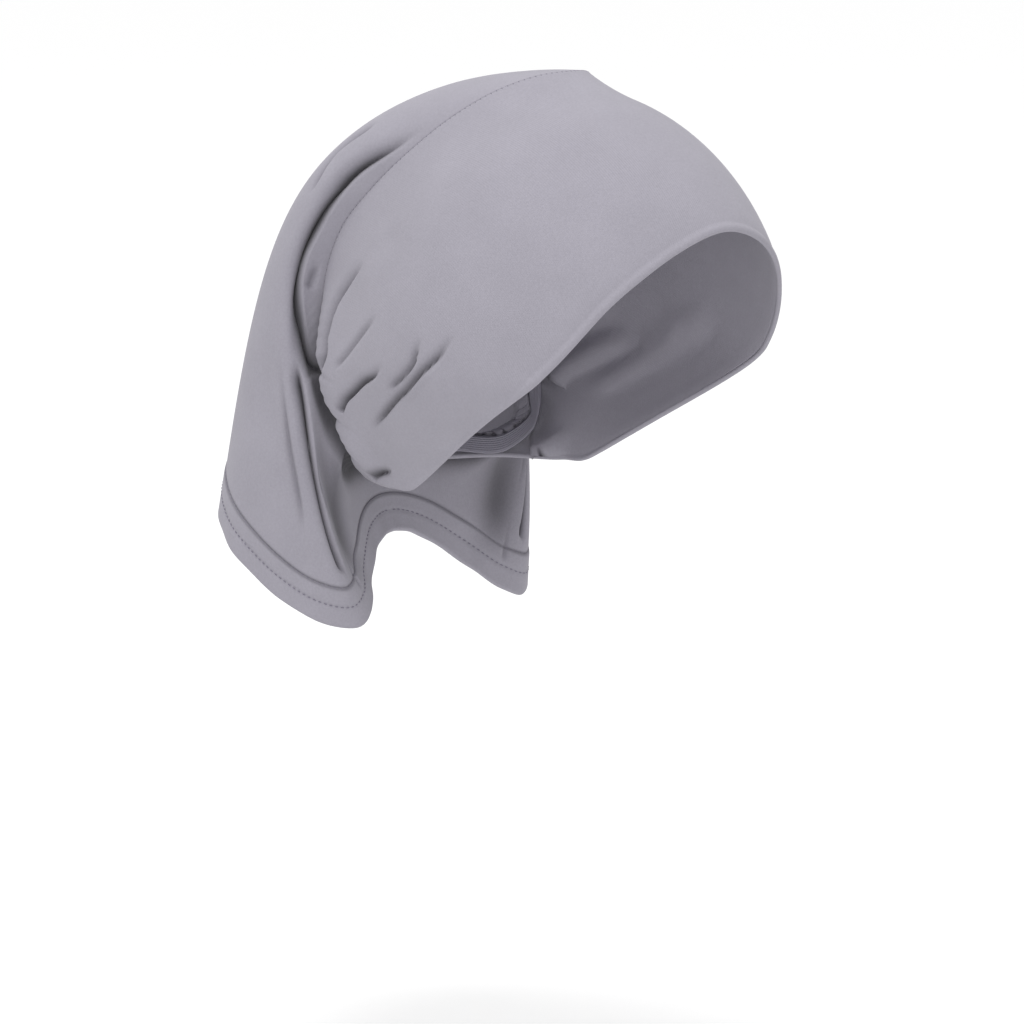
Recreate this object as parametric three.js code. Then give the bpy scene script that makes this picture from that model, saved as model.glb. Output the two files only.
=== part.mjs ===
// Hijab underscarf cap in stretch jersey, in the form that it has when worn: a two-ply front panel,
// a slouchy open tail behind it with a turned hem, and the nape elastic that gathers them.
// Millimetres, +Z up, the face towards -Y. The origin is the inside of the cloth where the crown
// seam crosses the midline.
import * as THREE from 'three';

// Outside of the cloth over the crown and down to the nape
const crownWidth = 156;
const crownLength = 197;
const crownRise = 104;
const crownBack = 6;
const seamTent = 5.5;
const tentReach = 24;
const napeWidth = 100;
const napeLength = 100;
const napeBack = 36;
const napeDrop = 165;
const capDrop = 162;

// Tail that hangs behind, from the crown to its free edge
const tailWidth = 144;
const tailBack = 153;
const tailDrop = 219;

// Cloth, hem and elastic
const panelWall = 2;
const tailWall = 1.4;
const hemWall = 2.4;
const hemWidth = 16;
const seamGap = 0.4;
const elasticWidth = 7;
const elasticWall = 1.2;
const elasticGap = 0.6;
const elasticStart = 0.64;

// Gathers that the elastic pulls into both cloths beside the low part of the seam, flat at the brim
const gatherStart = 0.5;
const gatherFull = 0.68;
const gatherLift = 5;
const gatherReach = 9;
const ruffleStart = 0.72;
const rufflesPerSide = 5;
const ruffleDepth = 1.6;
const brimFlat = 4;

// The deepest fold, and the half width of the broadest
const foldDepth = 9;
const foldWidth = 9;

// How finely each cloth is faceted, how much closer the facets stand at the nape and the seam, and the
// small step in lap and fall over which directions are taken
const roundSteps = 88;
const napeCrowding = 0.5;
const panelSteps = 13;
const tailSteps = 15;
const seamCrowding = 1.5;
const hemSteps = 2;
const elasticSteps = 44;
const foldSamples = 16;
const nudge = 0.002;

// Lower edge of the front panel: turn from the face in degrees, drop as a share of capDrop
const brimRows = [
  { turn: 0, drop: 0.342 },
  { turn: 15, drop: 0.363 },
  { turn: 30, drop: 0.42 },
  { turn: 43, drop: 0.505 },
  { turn: 55, drop: 0.627 },
  { turn: 68, drop: 0.762 },
  { turn: 79, drop: 0.91 },
  { turn: 90, drop: 0.983 },
  { turn: 105, drop: 0.997 },
  { turn: 140, drop: 1 },
  { turn: 180, drop: 1 },
];

// Crown seam, from the crown at lap 0 to the middle of the nape at lap 1, and the turn of the brim
// that each lap starts from: across in half crownWidth, back in half crownLength, drop in capDrop
const seamRows = [
  { lap: 0, turn: 0, across: 0, back: 0, drop: 0 },
  { lap: 0.056, turn: 11, across: 0.182, back: 0.041, drop: 0.007 },
  { lap: 0.116, turn: 23, across: 0.338, back: 0.134, drop: 0.038 },
  { lap: 0.194, turn: 38, across: 0.494, back: 0.268, drop: 0.102 },
  { lap: 0.275, turn: 52, across: 0.61, back: 0.412, drop: 0.185 },
  { lap: 0.36, turn: 65, across: 0.662, back: 0.577, drop: 0.278 },
  { lap: 0.441, turn: 75, across: 0.688, back: 0.722, drop: 0.377 },
  { lap: 0.538, turn: 85, across: 0.714, back: 0.804, drop: 0.525 },
  { lap: 0.626, turn: 94, across: 0.727, back: 0.784, drop: 0.667 },
  { lap: 0.711, turn: 104, across: 0.71, back: 0.722, drop: 0.802 },
  { lap: 0.776, turn: 116, across: 0.662, back: 0.66, drop: 0.901 },
  { lap: 0.826, turn: 130, across: 0.545, back: 0.732, drop: 0.951 },
  { lap: 0.901, turn: 153, across: 0.325, back: 0.87, drop: 0.951 },
  { lap: 1, turn: 180, across: 0, back: 0.938, drop: 0.938 },
];

// Three more loops shape the tail between the seam and its free edge:
// across in half tailWidth, back in tailBack, drop in tailDrop
const shoulderRows = [
  { lap: 0, across: 0, back: 0.686, drop: 0 },
  { lap: 0.2, across: 0.79, back: 0.625, drop: 0.065 },
  { lap: 0.36, across: 0.972, back: 0.601, drop: 0.184 },
  { lap: 0.46, across: 1, back: 0.575, drop: 0.286 },
  { lap: 0.54, across: 0.972, back: 0.575, drop: 0.406 },
  { lap: 0.63, across: 0.917, back: 0.549, drop: 0.516 },
  { lap: 0.71, across: 0.833, back: 0.516, drop: 0.618 },
  { lap: 0.78, across: 0.75, back: 0.477, drop: 0.687 },
  { lap: 0.83, across: 0.611, back: 0.523, drop: 0.724 },
  { lap: 0.9, across: 0.347, back: 0.608, drop: 0.724 },
  { lap: 1, across: 0, back: 0.647, drop: 0.714 },
];
const sideRows = [
  { lap: 0, across: 0, back: 0.815, drop: 0.286 },
  { lap: 0.2, across: 0.625, back: 0.808, drop: 0.346 },
  { lap: 0.36, across: 0.88, back: 0.715, drop: 0.461 },
  { lap: 0.46, across: 0.98, back: 0.62, drop: 0.553 },
  { lap: 0.54, across: 0.99, back: 0.555, drop: 0.645 },
  { lap: 0.63, across: 0.917, back: 0.497, drop: 0.737 },
  { lap: 0.71, across: 0.722, back: 0.536, drop: 0.783 },
  { lap: 0.78, across: 0.583, back: 0.575, drop: 0.793 },
  { lap: 0.83, across: 0.444, back: 0.614, drop: 0.793 },
  { lap: 0.9, across: 0.222, back: 0.654, drop: 0.793 },
  { lap: 1, across: 0, back: 0.68, drop: 0.783 },
];
const edgeRows = [
  { lap: 0, across: 0, back: 1, drop: 0.737 },
  { lap: 0.1, across: 0.375, back: 0.993, drop: 0.751 },
  { lap: 0.2, across: 0.66, back: 0.93, drop: 0.783 },
  { lap: 0.3, across: 0.889, back: 0.845, drop: 0.825 },
  { lap: 0.4, across: 1, back: 0.732, drop: 0.88 },
  { lap: 0.48, across: 0.972, back: 0.608, drop: 0.94 },
  { lap: 0.56, across: 0.847, back: 0.51, drop: 0.986 },
  { lap: 0.63, across: 0.68, back: 0.451, drop: 1 },
  { lap: 0.69, across: 0.542, back: 0.464, drop: 0.982 },
  { lap: 0.78, across: 0.403, back: 0.523, drop: 0.94 },
  { lap: 0.88, across: 0.208, back: 0.588, drop: 0.885 },
  { lap: 1, across: 0, back: 0.614, drop: 0.862 },
];

// Valleys in the panel that run into the gathers: turn in degrees and drop in capDrop where each one
// starts, bends and ends, its depth and the height of the lip on either side in foldDepth, and its half
// width in foldWidth
const panelFolds = [
  { turn: [116, 147, 141], drop: [0.432, 0.587, 0.715], depth: 0.67, width: 0.78, lip: 0.17 },
  { turn: [105, 106, 136], drop: [0.54, 0.586, 0.728], depth: 0.17, width: 0.44, lip: 0.06 },
  { turn: [105, 109, 138], drop: [0.68, 0.715, 0.83], depth: 0.56, width: 0.56, lip: 0.17 },
  { turn: [90, 89, 104], drop: [0.568, 0.666, 0.741], depth: 0.28, width: 0.44, lip: 0.11 },
  { turn: [87, 90, 117], drop: [0.66, 0.725, 0.87], depth: 0.5, width: 0.61, lip: 0.17 },
  { turn: [104, 109, 135], drop: [0.944, 0.972, 1], depth: 0.39, width: 0.39, lip: 0.11 },
];

// Valleys in the tail by lap and fall: the long one behind the seam in two stretches, the one above
// it, two soft ones down the side, and the pleat at the near edge
const tailFolds = [
  { lap: [0.2, 0.4, 0.47], fall: [0.02, 0.1, 0.26], depth: 0.78, width: 0.67, lip: 0.28 },
  { lap: [0.45, 0.53, 0.65], fall: [0.24, 0.36, 0.13], depth: 1, width: 0.72, lip: 0.28 },
  { lap: [0.16, 0.185, 0.33], fall: [0.17, 0.32, 0.31], depth: 0.44, width: 0.67, lip: 0.17 },
  { lap: [0.4, 0.435, 0.475], fall: [0.6, 0.7, 0.86], depth: 0.22, width: 1, lip: 0.06 },
  { lap: [0.457, 0.52, 0.55], fall: [0.54, 0.65, 0.83], depth: 0.13, width: 0.44, lip: 0.06 },
  { lap: [0.49, 0.62, 0.66], fall: [0.38, 0.51, 0.95], depth: 0.56, width: 0.61, lip: 0.22 },
];

const mix = (a, b, t) => a + (b - a) * t;
const clamp = (x) => Math.min(1, Math.max(0, x));
const ease = (x) => clamp(x) ** 2 * (3 - 2 * clamp(x));
const radians = (degrees) => (degrees * Math.PI) / 180;

// Smooth reading of a table's column. Past each end the rows are mirrored, so that a loop closes
// smoothly on the midline: straight for an even column, turned over for an odd one.
function read(rows, key, column, at, odd) {
  const last = rows.length - 1;
  const place = (i) => {
    if (i >= 0 && i <= last) return [rows[i][key], rows[i][column]];
    const end = i < 0 ? rows[0] : rows[last];
    const twin = i < 0 ? rows[-i] : rows[2 * last - i];
    return [2 * end[key] - twin[key], odd ? 2 * end[column] - twin[column] : twin[column]];
  };
  let i = 0;
  while (i < last - 1 && at > rows[i + 1][key]) i += 1;
  const [[x0, y0], [x1, y1], [x2, y2], [x3, y3]] = [i - 1, i, i + 1, i + 2].map(place);
  const slope = (xa, ya, xb, yb, xc, yc) =>
    (((yb - ya) / (xb - xa)) * (xc - xb) + ((yc - yb) / (xc - xb)) * (xb - xa)) / (xc - xa);
  const step = x2 - x1;
  const t = (at - x1) / step;
  const start = slope(x0, y0, x1, y1, x2, y2) * step;
  const end = slope(x1, y1, x2, y2, x3, y3) * step;
  return y1 * (2 * t ** 3 - 3 * t ** 2 + 1) + start * (t ** 3 - 2 * t ** 2 + t)
    + y2 * (3 * t ** 2 - 2 * t ** 3) + end * (t ** 3 - t ** 2);
}

function loopPoint(rows, lap, halfWidth, back, drop) {
  return new THREE.Vector3(
    halfWidth * read(rows, 'lap', 'across', lap, true),
    back * read(rows, 'lap', 'back', lap, false),
    panelWall - drop * read(rows, 'lap', 'drop', lap, false),
  );
}

// The crown's form is a dome that runs down into the nape. A place on it is a turn from the face and
// a reach: 0 at the top, 1 at the widest level and more than 1 below it.
const crownTop = panelWall - seamTent;
const quarterTurn = Math.PI / 2;

function formRing(z) {
  const below = crownTop - z;
  const rise = clamp(1 - below / crownRise);
  const spread = Math.sqrt(1 - rise ** 2);
  const nape = ease((below - crownRise) / (napeDrop - crownRise));
  return {
    halfWidth: mix((crownWidth / 2) * spread, napeWidth / 2, nape),
    halfLength: mix((crownLength / 2) * spread, napeLength / 2, nape),
    centre: mix(crownBack, napeBack, nape),
  };
}

function formPoint(turn, reach) {
  const tilt = Math.min(reach, 1) * quarterTurn;
  const z = crownTop - crownRise * (1 - Math.cos(tilt) + Math.max(reach - 1, 0) * quarterTurn);
  const ring = formRing(z);
  const across = ring.halfWidth * Math.sin(turn);
  return new THREE.Vector3(across, ring.centre - ring.halfLength * Math.cos(turn), z);
}

function formNormal(turn, reach) {
  const tilt = Math.min(reach, 1) * quarterTurn;
  return new THREE.Vector3(
    (Math.sin(tilt) * Math.sin(turn)) / crownWidth,
    (-Math.sin(tilt) * Math.cos(turn)) / crownLength,
    Math.cos(tilt) / (2 * crownRise),
  ).normalize();
}

function reachOfDepth(below) {
  if (below > crownRise) return 1 + (below - crownRise) / (crownRise * quarterTurn);
  return Math.acos(1 - below / crownRise) / quarterTurn;
}

function formPlace(point) {
  const below = crownTop - point.z;
  if (below > crownRise) {
    const ring = formRing(point.z);
    const turn = Math.atan2(point.x / ring.halfWidth, (ring.centre - point.y) / ring.halfLength);
    return { turn, reach: reachOfDepth(below) };
  }
  const side = point.x / (crownWidth / 2);
  const front = (crownBack - point.y) / (crownLength / 2);
  const up = 1 - below / crownRise;
  return {
    turn: Math.atan2(side, front),
    reach: Math.atan2(Math.hypot(side, front), up) / quarterTurn,
  };
}

const seamPoint = (lap) => loopPoint(seamRows, lap, crownWidth / 2, crownLength / 2, capDrop);

function seamNormal(lap) {
  const place = formPlace(seamPoint(lap));
  return formNormal(place.turn, place.reach);
}

// Where the tail's cloth starts: a gap past the panel's edge, across the seam
function tailStart(lap) {
  const along = seamPoint(lap + nudge).sub(seamPoint(lap - nudge));
  const past = seamNormal(lap).cross(along).normalize();
  return seamPoint(lap).addScaledVector(past, seamGap);
}

// A fold's line over the smooth cloth, through its start, bend and end
function foldLine(place, us, vs) {
  const bend = (w, t) => (1 - t) ** 2 * w[0] + 2 * t * (1 - t) * w[1] + t ** 2 * w[2];
  const shares = Array.from({ length: foldSamples + 1 }, (_, i) => i / foldSamples);
  return shares.map((t) => place(bend(us, t), bend(vs, t)));
}

// How far the folds push a point of the smooth cloth out of it. Each deepens over the first third of
// its line and fades over the last fifth.
function foldPush(point, folds) {
  let valley = 0;
  let lip = 0;
  for (const { line, depth, width, lip: height } of folds) {
    const distances = line.map((p) => p.distanceTo(point));
    const near = Math.min(...distances);
    const along = distances.indexOf(near) / foldSamples;
    const strength = ease(along * 3) * ease((1 - along) * 5);
    const off = near / (foldWidth * width);
    valley = Math.max(valley, depth * strength * Math.exp(-(off ** 2)));
    lip = Math.max(lip, height * strength * Math.exp(-((off - 2) ** 2)));
  }
  return foldDepth * (lip - valley);
}

// Share of the folds' depth that is reached at a distance from the seam: none over the elastic
const foldShare = (fromSeam) => clamp((fromSeam - elasticWidth / 2) / gatherReach);

// Swelling of the gathered cloth at a distance from the seam, with its ruffles round the nape
function gatherPush(lap, fromSeam) {
  const gathered = gatherLift * ease((lap - gatherStart) / (gatherFull - gatherStart));
  const phase = (rufflesPerSide * (lap - ruffleStart)) / (1 - ruffleStart);
  const ruffle = lap > ruffleStart ? ruffleDepth * (Math.cos(2 * Math.PI * phase) - 1) : 0;
  const share = fromSeam / gatherReach;
  return (gathered + ruffle) * share * Math.exp(1 - share);
}

// Front panel: rise is 0 at the brim and 1 at the seam
function smoothPanel(lap, rise) {
  const turn = radians(read(seamRows, 'lap', 'turn', lap, true));
  const drop = read(brimRows, 'turn', 'drop', (turn * 180) / Math.PI, false);
  const brimReach = reachOfDepth(drop * capDrop - seamTent);
  const brim = formPoint(turn, brimReach);
  const seam = seamPoint(lap);
  const top = formPlace(seam);
  const side = mix(brimReach * Math.sin(turn), top.reach * Math.sin(top.turn), rise);
  const front = mix(brimReach * Math.cos(turn), top.reach * Math.cos(top.turn), rise);
  const place = { turn: Math.atan2(side, front), reach: Math.hypot(side, front) };
  const fromSeam = (1 - rise) * brim.distanceTo(seam);
  const fromBrim = rise * brim.distanceTo(seam);
  const stand = seam.sub(formPoint(top.turn, top.reach));
  const point = formPoint(place.turn, place.reach);
  point.addScaledVector(stand, clamp(1 - fromSeam / tentReach) ** 2);
  return { point, place, fromSeam, fromBrim };
}

const dropPoint = (turn, drop) => formPoint(radians(turn), reachOfDepth(drop * capDrop - seamTent));

const panelFoldLines = panelFolds.map((fold) => ({
  ...fold,
  line: foldLine(dropPoint, fold.turn, fold.drop),
}));

function panelPoint(lap, rise) {
  const { point, place, fromSeam, fromBrim } = smoothPanel(lap, rise);
  const seated = 1 - Math.exp(-fromBrim / brimFlat);
  const folded = foldPush(point, panelFoldLines) * foldShare(fromSeam);
  const push = gatherPush(lap, fromSeam) * seated + folded;
  return point.addScaledVector(formNormal(place.turn, place.reach), push);
}

const tailLoop = (rows, lap) => loopPoint(rows, lap, tailWidth / 2, tailBack, tailDrop);

// Tail: fall is 0 at the seam and 1 at the free edge
function smoothTail(lap, fall) {
  const rails = [
    tailStart(lap),
    tailLoop(shoulderRows, lap),
    tailLoop(sideRows, lap),
    tailLoop(edgeRows, lap),
  ];
  const shares = [(1 - fall) ** 3, 3 * fall * (1 - fall) ** 2, 3 * fall ** 2 * (1 - fall), fall ** 3];
  return rails.reduce((sum, rail, i) => sum.addScaledVector(rail, shares[i]), new THREE.Vector3());
}

function tailNormal(lap, fall) {
  const along = smoothTail(lap + nudge, fall).sub(smoothTail(lap - nudge, fall));
  const down = smoothTail(lap, fall + nudge).sub(smoothTail(lap, fall - nudge));
  return along.cross(down).normalize();
}

const tailFoldLines = tailFolds.map((fold) => ({
  ...fold,
  line: foldLine(smoothTail, fold.lap, fold.fall),
}));

function tailPoint(lap, fall) {
  const point = smoothTail(lap, fall);
  const fromSeam = point.distanceTo(tailStart(lap));
  const folded = foldPush(point, tailFoldLines) * foldShare(fromSeam);
  const outwards = seamNormal(lap).lerp(tailNormal(lap, fall), clamp(fromSeam / gatherReach)).normalize();
  return point.addScaledVector(outwards, gatherPush(lap, fromSeam) + folded);
}

// The fall that lies a length of cloth above the free edge
function fallFromEdge(lap, length) {
  return 1 - length / (3 * tailLoop(edgeRows, lap).distanceTo(tailLoop(sideRows, lap)));
}

// One row of points round the cap, over the wearer's left side and back over the right
function roundRow(point, step) {
  return Array.from({ length: roundSteps }, (_, i) => {
    const turn = (2 * i) / roundSteps - 1;
    const share = Math.abs(turn);
    const place = point(share * (1 + napeCrowding * (1 - share)), step);
    if (turn > 0) place.x *= -1;
    return place;
  });
}

// Closed ring of cloth from its outer face, with the inner face a wall inside it. The row on the seam
// is turned in along the seam's own normal, so that the two cloths meet squarely.
function clothRing(point, steps, wall, seamStep) {
  const outer = Array.from({ length: steps + 1 }, (_, j) => roundRow(point, j / steps));
  const seamNormals = roundRow(seamNormal, 0);
  const normal = (i, j) => {
    if (j === seamStep) return seamNormals[i];
    const before = outer[j][(i + roundSteps - 1) % roundSteps];
    const after = outer[j][(i + 1) % roundSteps];
    const above = outer[Math.min(j + 1, steps)][i];
    const below = outer[Math.max(j - 1, 0)][i];
    return above.clone().sub(below).cross(after.clone().sub(before)).normalize();
  };
  const inner = outer.map((row, j) => row.map((p, i) => p.clone().addScaledVector(normal(i, j), -wall)));
  return closedBody([...outer.reverse(), ...inner], true);
}

// Body skinned over loops of points. The last loop joins the first, or both ends are capped.
function closedBody(loops, isRing) {
  const count = loops[0].length;
  const points = loops.flat();
  const faces = [];
  const bands = isRing ? loops.length : loops.length - 1;
  for (let j = 0; j < bands; j += 1) {
    const next = ((j + 1) % loops.length) * count;
    for (let i = 0; i < count; i += 1) {
      const k = (i + 1) % count;
      const [a, b, c, d] = [j * count + i, j * count + k, next + k, next + i];
      const shorter = points[a].distanceTo(points[c]) < points[b].distanceTo(points[d]);
      faces.push(...(shorter ? [a, b, c, a, c, d] : [a, b, d, b, c, d]));
    }
  }
  if (!isRing) {
    const end = points.length - count;
    for (let i = 1; i < count - 1; i += 1) faces.push(0, i + 1, i, end, end + i, end + i + 1);
  }
  const geometry = new THREE.BufferGeometry();
  geometry.setAttribute('position', new THREE.Float32BufferAttribute(points.flatMap((p) => [...p]), 3));
  geometry.setIndex(faces);
  geometry.computeVertexNormals();
  return geometry;
}

// Flat band inside the panel along its seam, from one side of the nape round to the other
function elasticBand() {
  const loops = [];
  for (let i = 0; i <= elasticSteps; i += 1) {
    const turn = (2 * i) / elasticSteps - 1;
    const lap = 1 - Math.abs(turn) * (1 - elasticStart);
    const edge = 1 - elasticWidth / smoothPanel(lap, 0).fromSeam;
    const across = smoothPanel(lap, edge).point.sub(seamPoint(lap)).normalize();
    const along = seamPoint(lap - nudge).sub(seamPoint(lap + nudge)).normalize();
    const inwards = across.clone().cross(along).normalize();
    const corner = (width, depth) => {
      const place = seamPoint(lap).addScaledVector(across, width);
      place.addScaledVector(inwards, panelWall + elasticGap + depth);
      if (turn > 0) place.x *= -1;
      return place;
    };
    loops.push([
      corner(0, 0),
      corner(elasticWidth, 0),
      corner(elasticWidth, elasticWall),
      corner(0, elasticWall),
    ]);
  }
  return closedBody(loops, false);
}

const panelRing = () => clothRing(
  (lap, share) => panelPoint(lap, 1 - (1 - share) ** seamCrowding),
  panelSteps,
  panelWall,
  panelSteps,
);

const tailRing = () => clothRing(
  (lap, share) => tailPoint(lap, fallFromEdge(lap, hemWidth + seamGap) * share ** seamCrowding),
  tailSteps,
  tailWall,
  0,
);

const hemProud = (hemWall - tailWall) / 2;
const hemRing = () => clothRing((lap, share) => {
  const fall = fallFromEdge(lap, hemWidth * (1 - share));
  return tailPoint(lap, fall).addScaledVector(tailNormal(lap, fall), hemProud);
}, hemSteps, hemWall, -1);

// Soft matt jersey, a little darker where the single cloth of the tail lets less light back
const clothMaterial = (color) => new THREE.MeshStandardMaterial({ color, roughness: 0.92, metalness: 0 });

function piece(name, geometry, color) {
  const mesh = new THREE.Mesh(geometry, clothMaterial(color));
  mesh.name = name;
  return mesh;
}

const cap = new THREE.Group();
cap.add(
  piece('front_panel', panelRing(), '#a7a3ae'),
  piece('tail', tailRing(), '#a5a1ac'),
  piece('tail_hem', hemRing(), '#a29eaa'),
  piece('nape_elastic', elasticBand(), '#8f8c98'),
);

export default cap;
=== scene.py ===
import math

import bmesh
import bpy
import numpy as np
from mathutils import Matrix, Vector


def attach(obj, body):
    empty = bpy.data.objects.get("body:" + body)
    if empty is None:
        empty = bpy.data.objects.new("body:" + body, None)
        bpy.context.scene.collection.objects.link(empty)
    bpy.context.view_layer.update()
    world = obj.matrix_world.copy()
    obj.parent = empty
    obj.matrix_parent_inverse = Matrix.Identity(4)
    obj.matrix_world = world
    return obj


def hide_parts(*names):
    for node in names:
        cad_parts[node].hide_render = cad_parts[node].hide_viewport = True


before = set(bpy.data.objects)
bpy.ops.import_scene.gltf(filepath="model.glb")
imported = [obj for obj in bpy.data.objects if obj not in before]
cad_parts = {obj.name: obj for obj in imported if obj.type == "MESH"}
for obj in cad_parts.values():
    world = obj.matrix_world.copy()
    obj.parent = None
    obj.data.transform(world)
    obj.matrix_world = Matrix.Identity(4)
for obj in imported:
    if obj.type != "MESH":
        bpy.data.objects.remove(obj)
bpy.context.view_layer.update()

bl_info = {
    "name": "Jersey Underscarf Cap",
    "version": (1, 0, 0),
    "blender": (4, 5, 0),
    "location": "View3D > Sidebar > Cap",
    "description": "A worn jersey cap with its crown seam, gathers, slouchy tail and hem",
    "category": "Object",
}

# Lower edge of the front panel: turn from the face in degrees, drop as a share of cap_drop
BRIM = {
    "turn": (0, 15, 30, 43, 55, 68, 79, 90, 105, 140, 180),
    "drop": (0.342, 0.363, 0.42, 0.505, 0.627, 0.762, 0.91, 0.983, 0.997, 1, 1),
}

# Crown seam from the crown at lap 0 to the middle of the nape at lap 1, as shares of the sizes
SEAM = {
    "lap": (0, 0.056, 0.116, 0.194, 0.275, 0.36, 0.441,
            0.538, 0.626, 0.711, 0.776, 0.826, 0.901, 1),
    "turn": (0, 11, 23, 38, 52, 65, 75, 85, 94, 104, 116, 130, 153, 180),
    "across": (0, 0.182, 0.338, 0.494, 0.61, 0.662, 0.688,
               0.714, 0.727, 0.71, 0.662, 0.545, 0.325, 0),
    "back": (0, 0.041, 0.134, 0.268, 0.412, 0.577, 0.722,
             0.804, 0.784, 0.722, 0.66, 0.732, 0.87, 0.938),
    "drop": (0, 0.007, 0.038, 0.102, 0.185, 0.278, 0.377,
             0.525, 0.667, 0.802, 0.901, 0.951, 0.951, 0.938),
}

# Loops that shape the tail between the seam and its free edge
LOOP_LAPS = (0, 0.2, 0.36, 0.46, 0.54, 0.63, 0.71, 0.78, 0.83, 0.9, 1)
SHOULDER = {
    "lap": LOOP_LAPS,
    "across": (0, 0.79, 0.972, 1, 0.972, 0.917, 0.833, 0.75, 0.611, 0.347, 0),
    "back": (0.686, 0.625, 0.601, 0.575, 0.575, 0.549, 0.516, 0.477, 0.523, 0.608, 0.647),
    "drop": (0, 0.065, 0.184, 0.286, 0.406, 0.516, 0.618, 0.687, 0.724, 0.724, 0.714),
}
SIDE = {
    "lap": LOOP_LAPS,
    "across": (0, 0.625, 0.88, 0.98, 0.99, 0.917, 0.722, 0.583, 0.444, 0.222, 0),
    "back": (0.815, 0.808, 0.715, 0.62, 0.555, 0.497, 0.536, 0.575, 0.614, 0.654, 0.68),
    "drop": (0.286, 0.346, 0.461, 0.553, 0.645, 0.737, 0.783, 0.793, 0.793, 0.793, 0.783),
}
EDGE = {
    "lap": (0, 0.1, 0.2, 0.3, 0.4, 0.48, 0.56, 0.63, 0.69, 0.78, 0.88, 1),
    "across": (0, 0.375, 0.66, 0.889, 1, 0.972, 0.847, 0.68, 0.542, 0.403, 0.208, 0),
    "back": (1, 0.993, 0.93, 0.845, 0.732, 0.608, 0.51, 0.451, 0.464, 0.523, 0.588, 0.614),
    "drop": (0.737, 0.751, 0.783, 0.825, 0.88, 0.94, 0.986, 1, 0.982, 0.94, 0.885, 0.862),
}

# Folds through points on the smooth cloth. Depth is in fold_depth and width in fold_width, from
# the crease to the far side of the roll; steep is the share of that width on the other side.
# Crease is how sharp the fold is, and fade the shares of its run in which it starts and ends.
# Shade is painted shade: it darkens the colour over the whole hollow of a fold that the light
# doesn't reach.
PANEL_FOLDS = (
    {"turn": (116.5, 120.9, 124.4, 126.9, 128, 128.2, 128.2, 127.5, 130),
     "drop": (0.439, 0.472, 0.509, 0.544, 0.578, 0.606, 0.642, 0.679, 0.726),
     "depth": 0.85, "width": 0.65, "steep": 0.35, "crease": 0.9, "fade": (0.45, 0.02),
     "shade": 0.4},
    {"turn": (105.7, 111.1, 117.5, 123.8), "drop": (0.551, 0.598, 0.654, 0.71),
     "depth": 0.16, "width": 0.34, "steep": 0.7, "crease": 0.8, "fade": (0.4, 0.15)},
    {"turn": (102.6, 105.4, 107.8, 112.2, 116.4, 120.4, 122.6),
     "drop": (0.664, 0.69, 0.707, 0.727, 0.753, 0.78, 0.811),
     "depth": 0.55, "width": 0.4, "steep": 0.45, "crease": 0.9, "fade": (0.6, 0.02)},
    {"turn": (90.5, 92.2, 93.3, 95.8, 98.5, 102.3),
     "drop": (0.59, 0.635, 0.662, 0.688, 0.71, 0.735),
     "depth": 0.28, "width": 0.44, "steep": 0.45, "crease": 0.85, "fade": (0.3, 0.2)},
    {"turn": (80.1, 83.4, 85.8, 91.1, 95.3, 98.1, 104, 111.8),
     "drop": (0.57, 0.608, 0.638, 0.683, 0.725, 0.747, 0.795, 0.849),
     "depth": 0.36, "width": 0.46, "steep": 0.45, "crease": 0.85, "fade": (0.4, 0.15)},
    {"turn": (84, 91.7, 98), "drop": (0.655, 0.729, 0.795),
     "depth": 0.06, "width": 0.6, "steep": 1, "crease": 0.2, "fade": (0.4, 0.4)},
    {"turn": (103.4, 108.7, 113.5, 119.3), "drop": (0.946, 0.959, 0.968, 0.982),
     "depth": 0.45, "width": 0.34, "steep": 0.6, "crease": 0.9, "fade": (0.5, 0.03)},
    {"turn": (102, 112, 122), "drop": (0.365, 0.4, 0.455),
     "depth": 0.06, "width": 1, "steep": 1, "crease": 0, "fade": (0.4, 0.4)},
)
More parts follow.
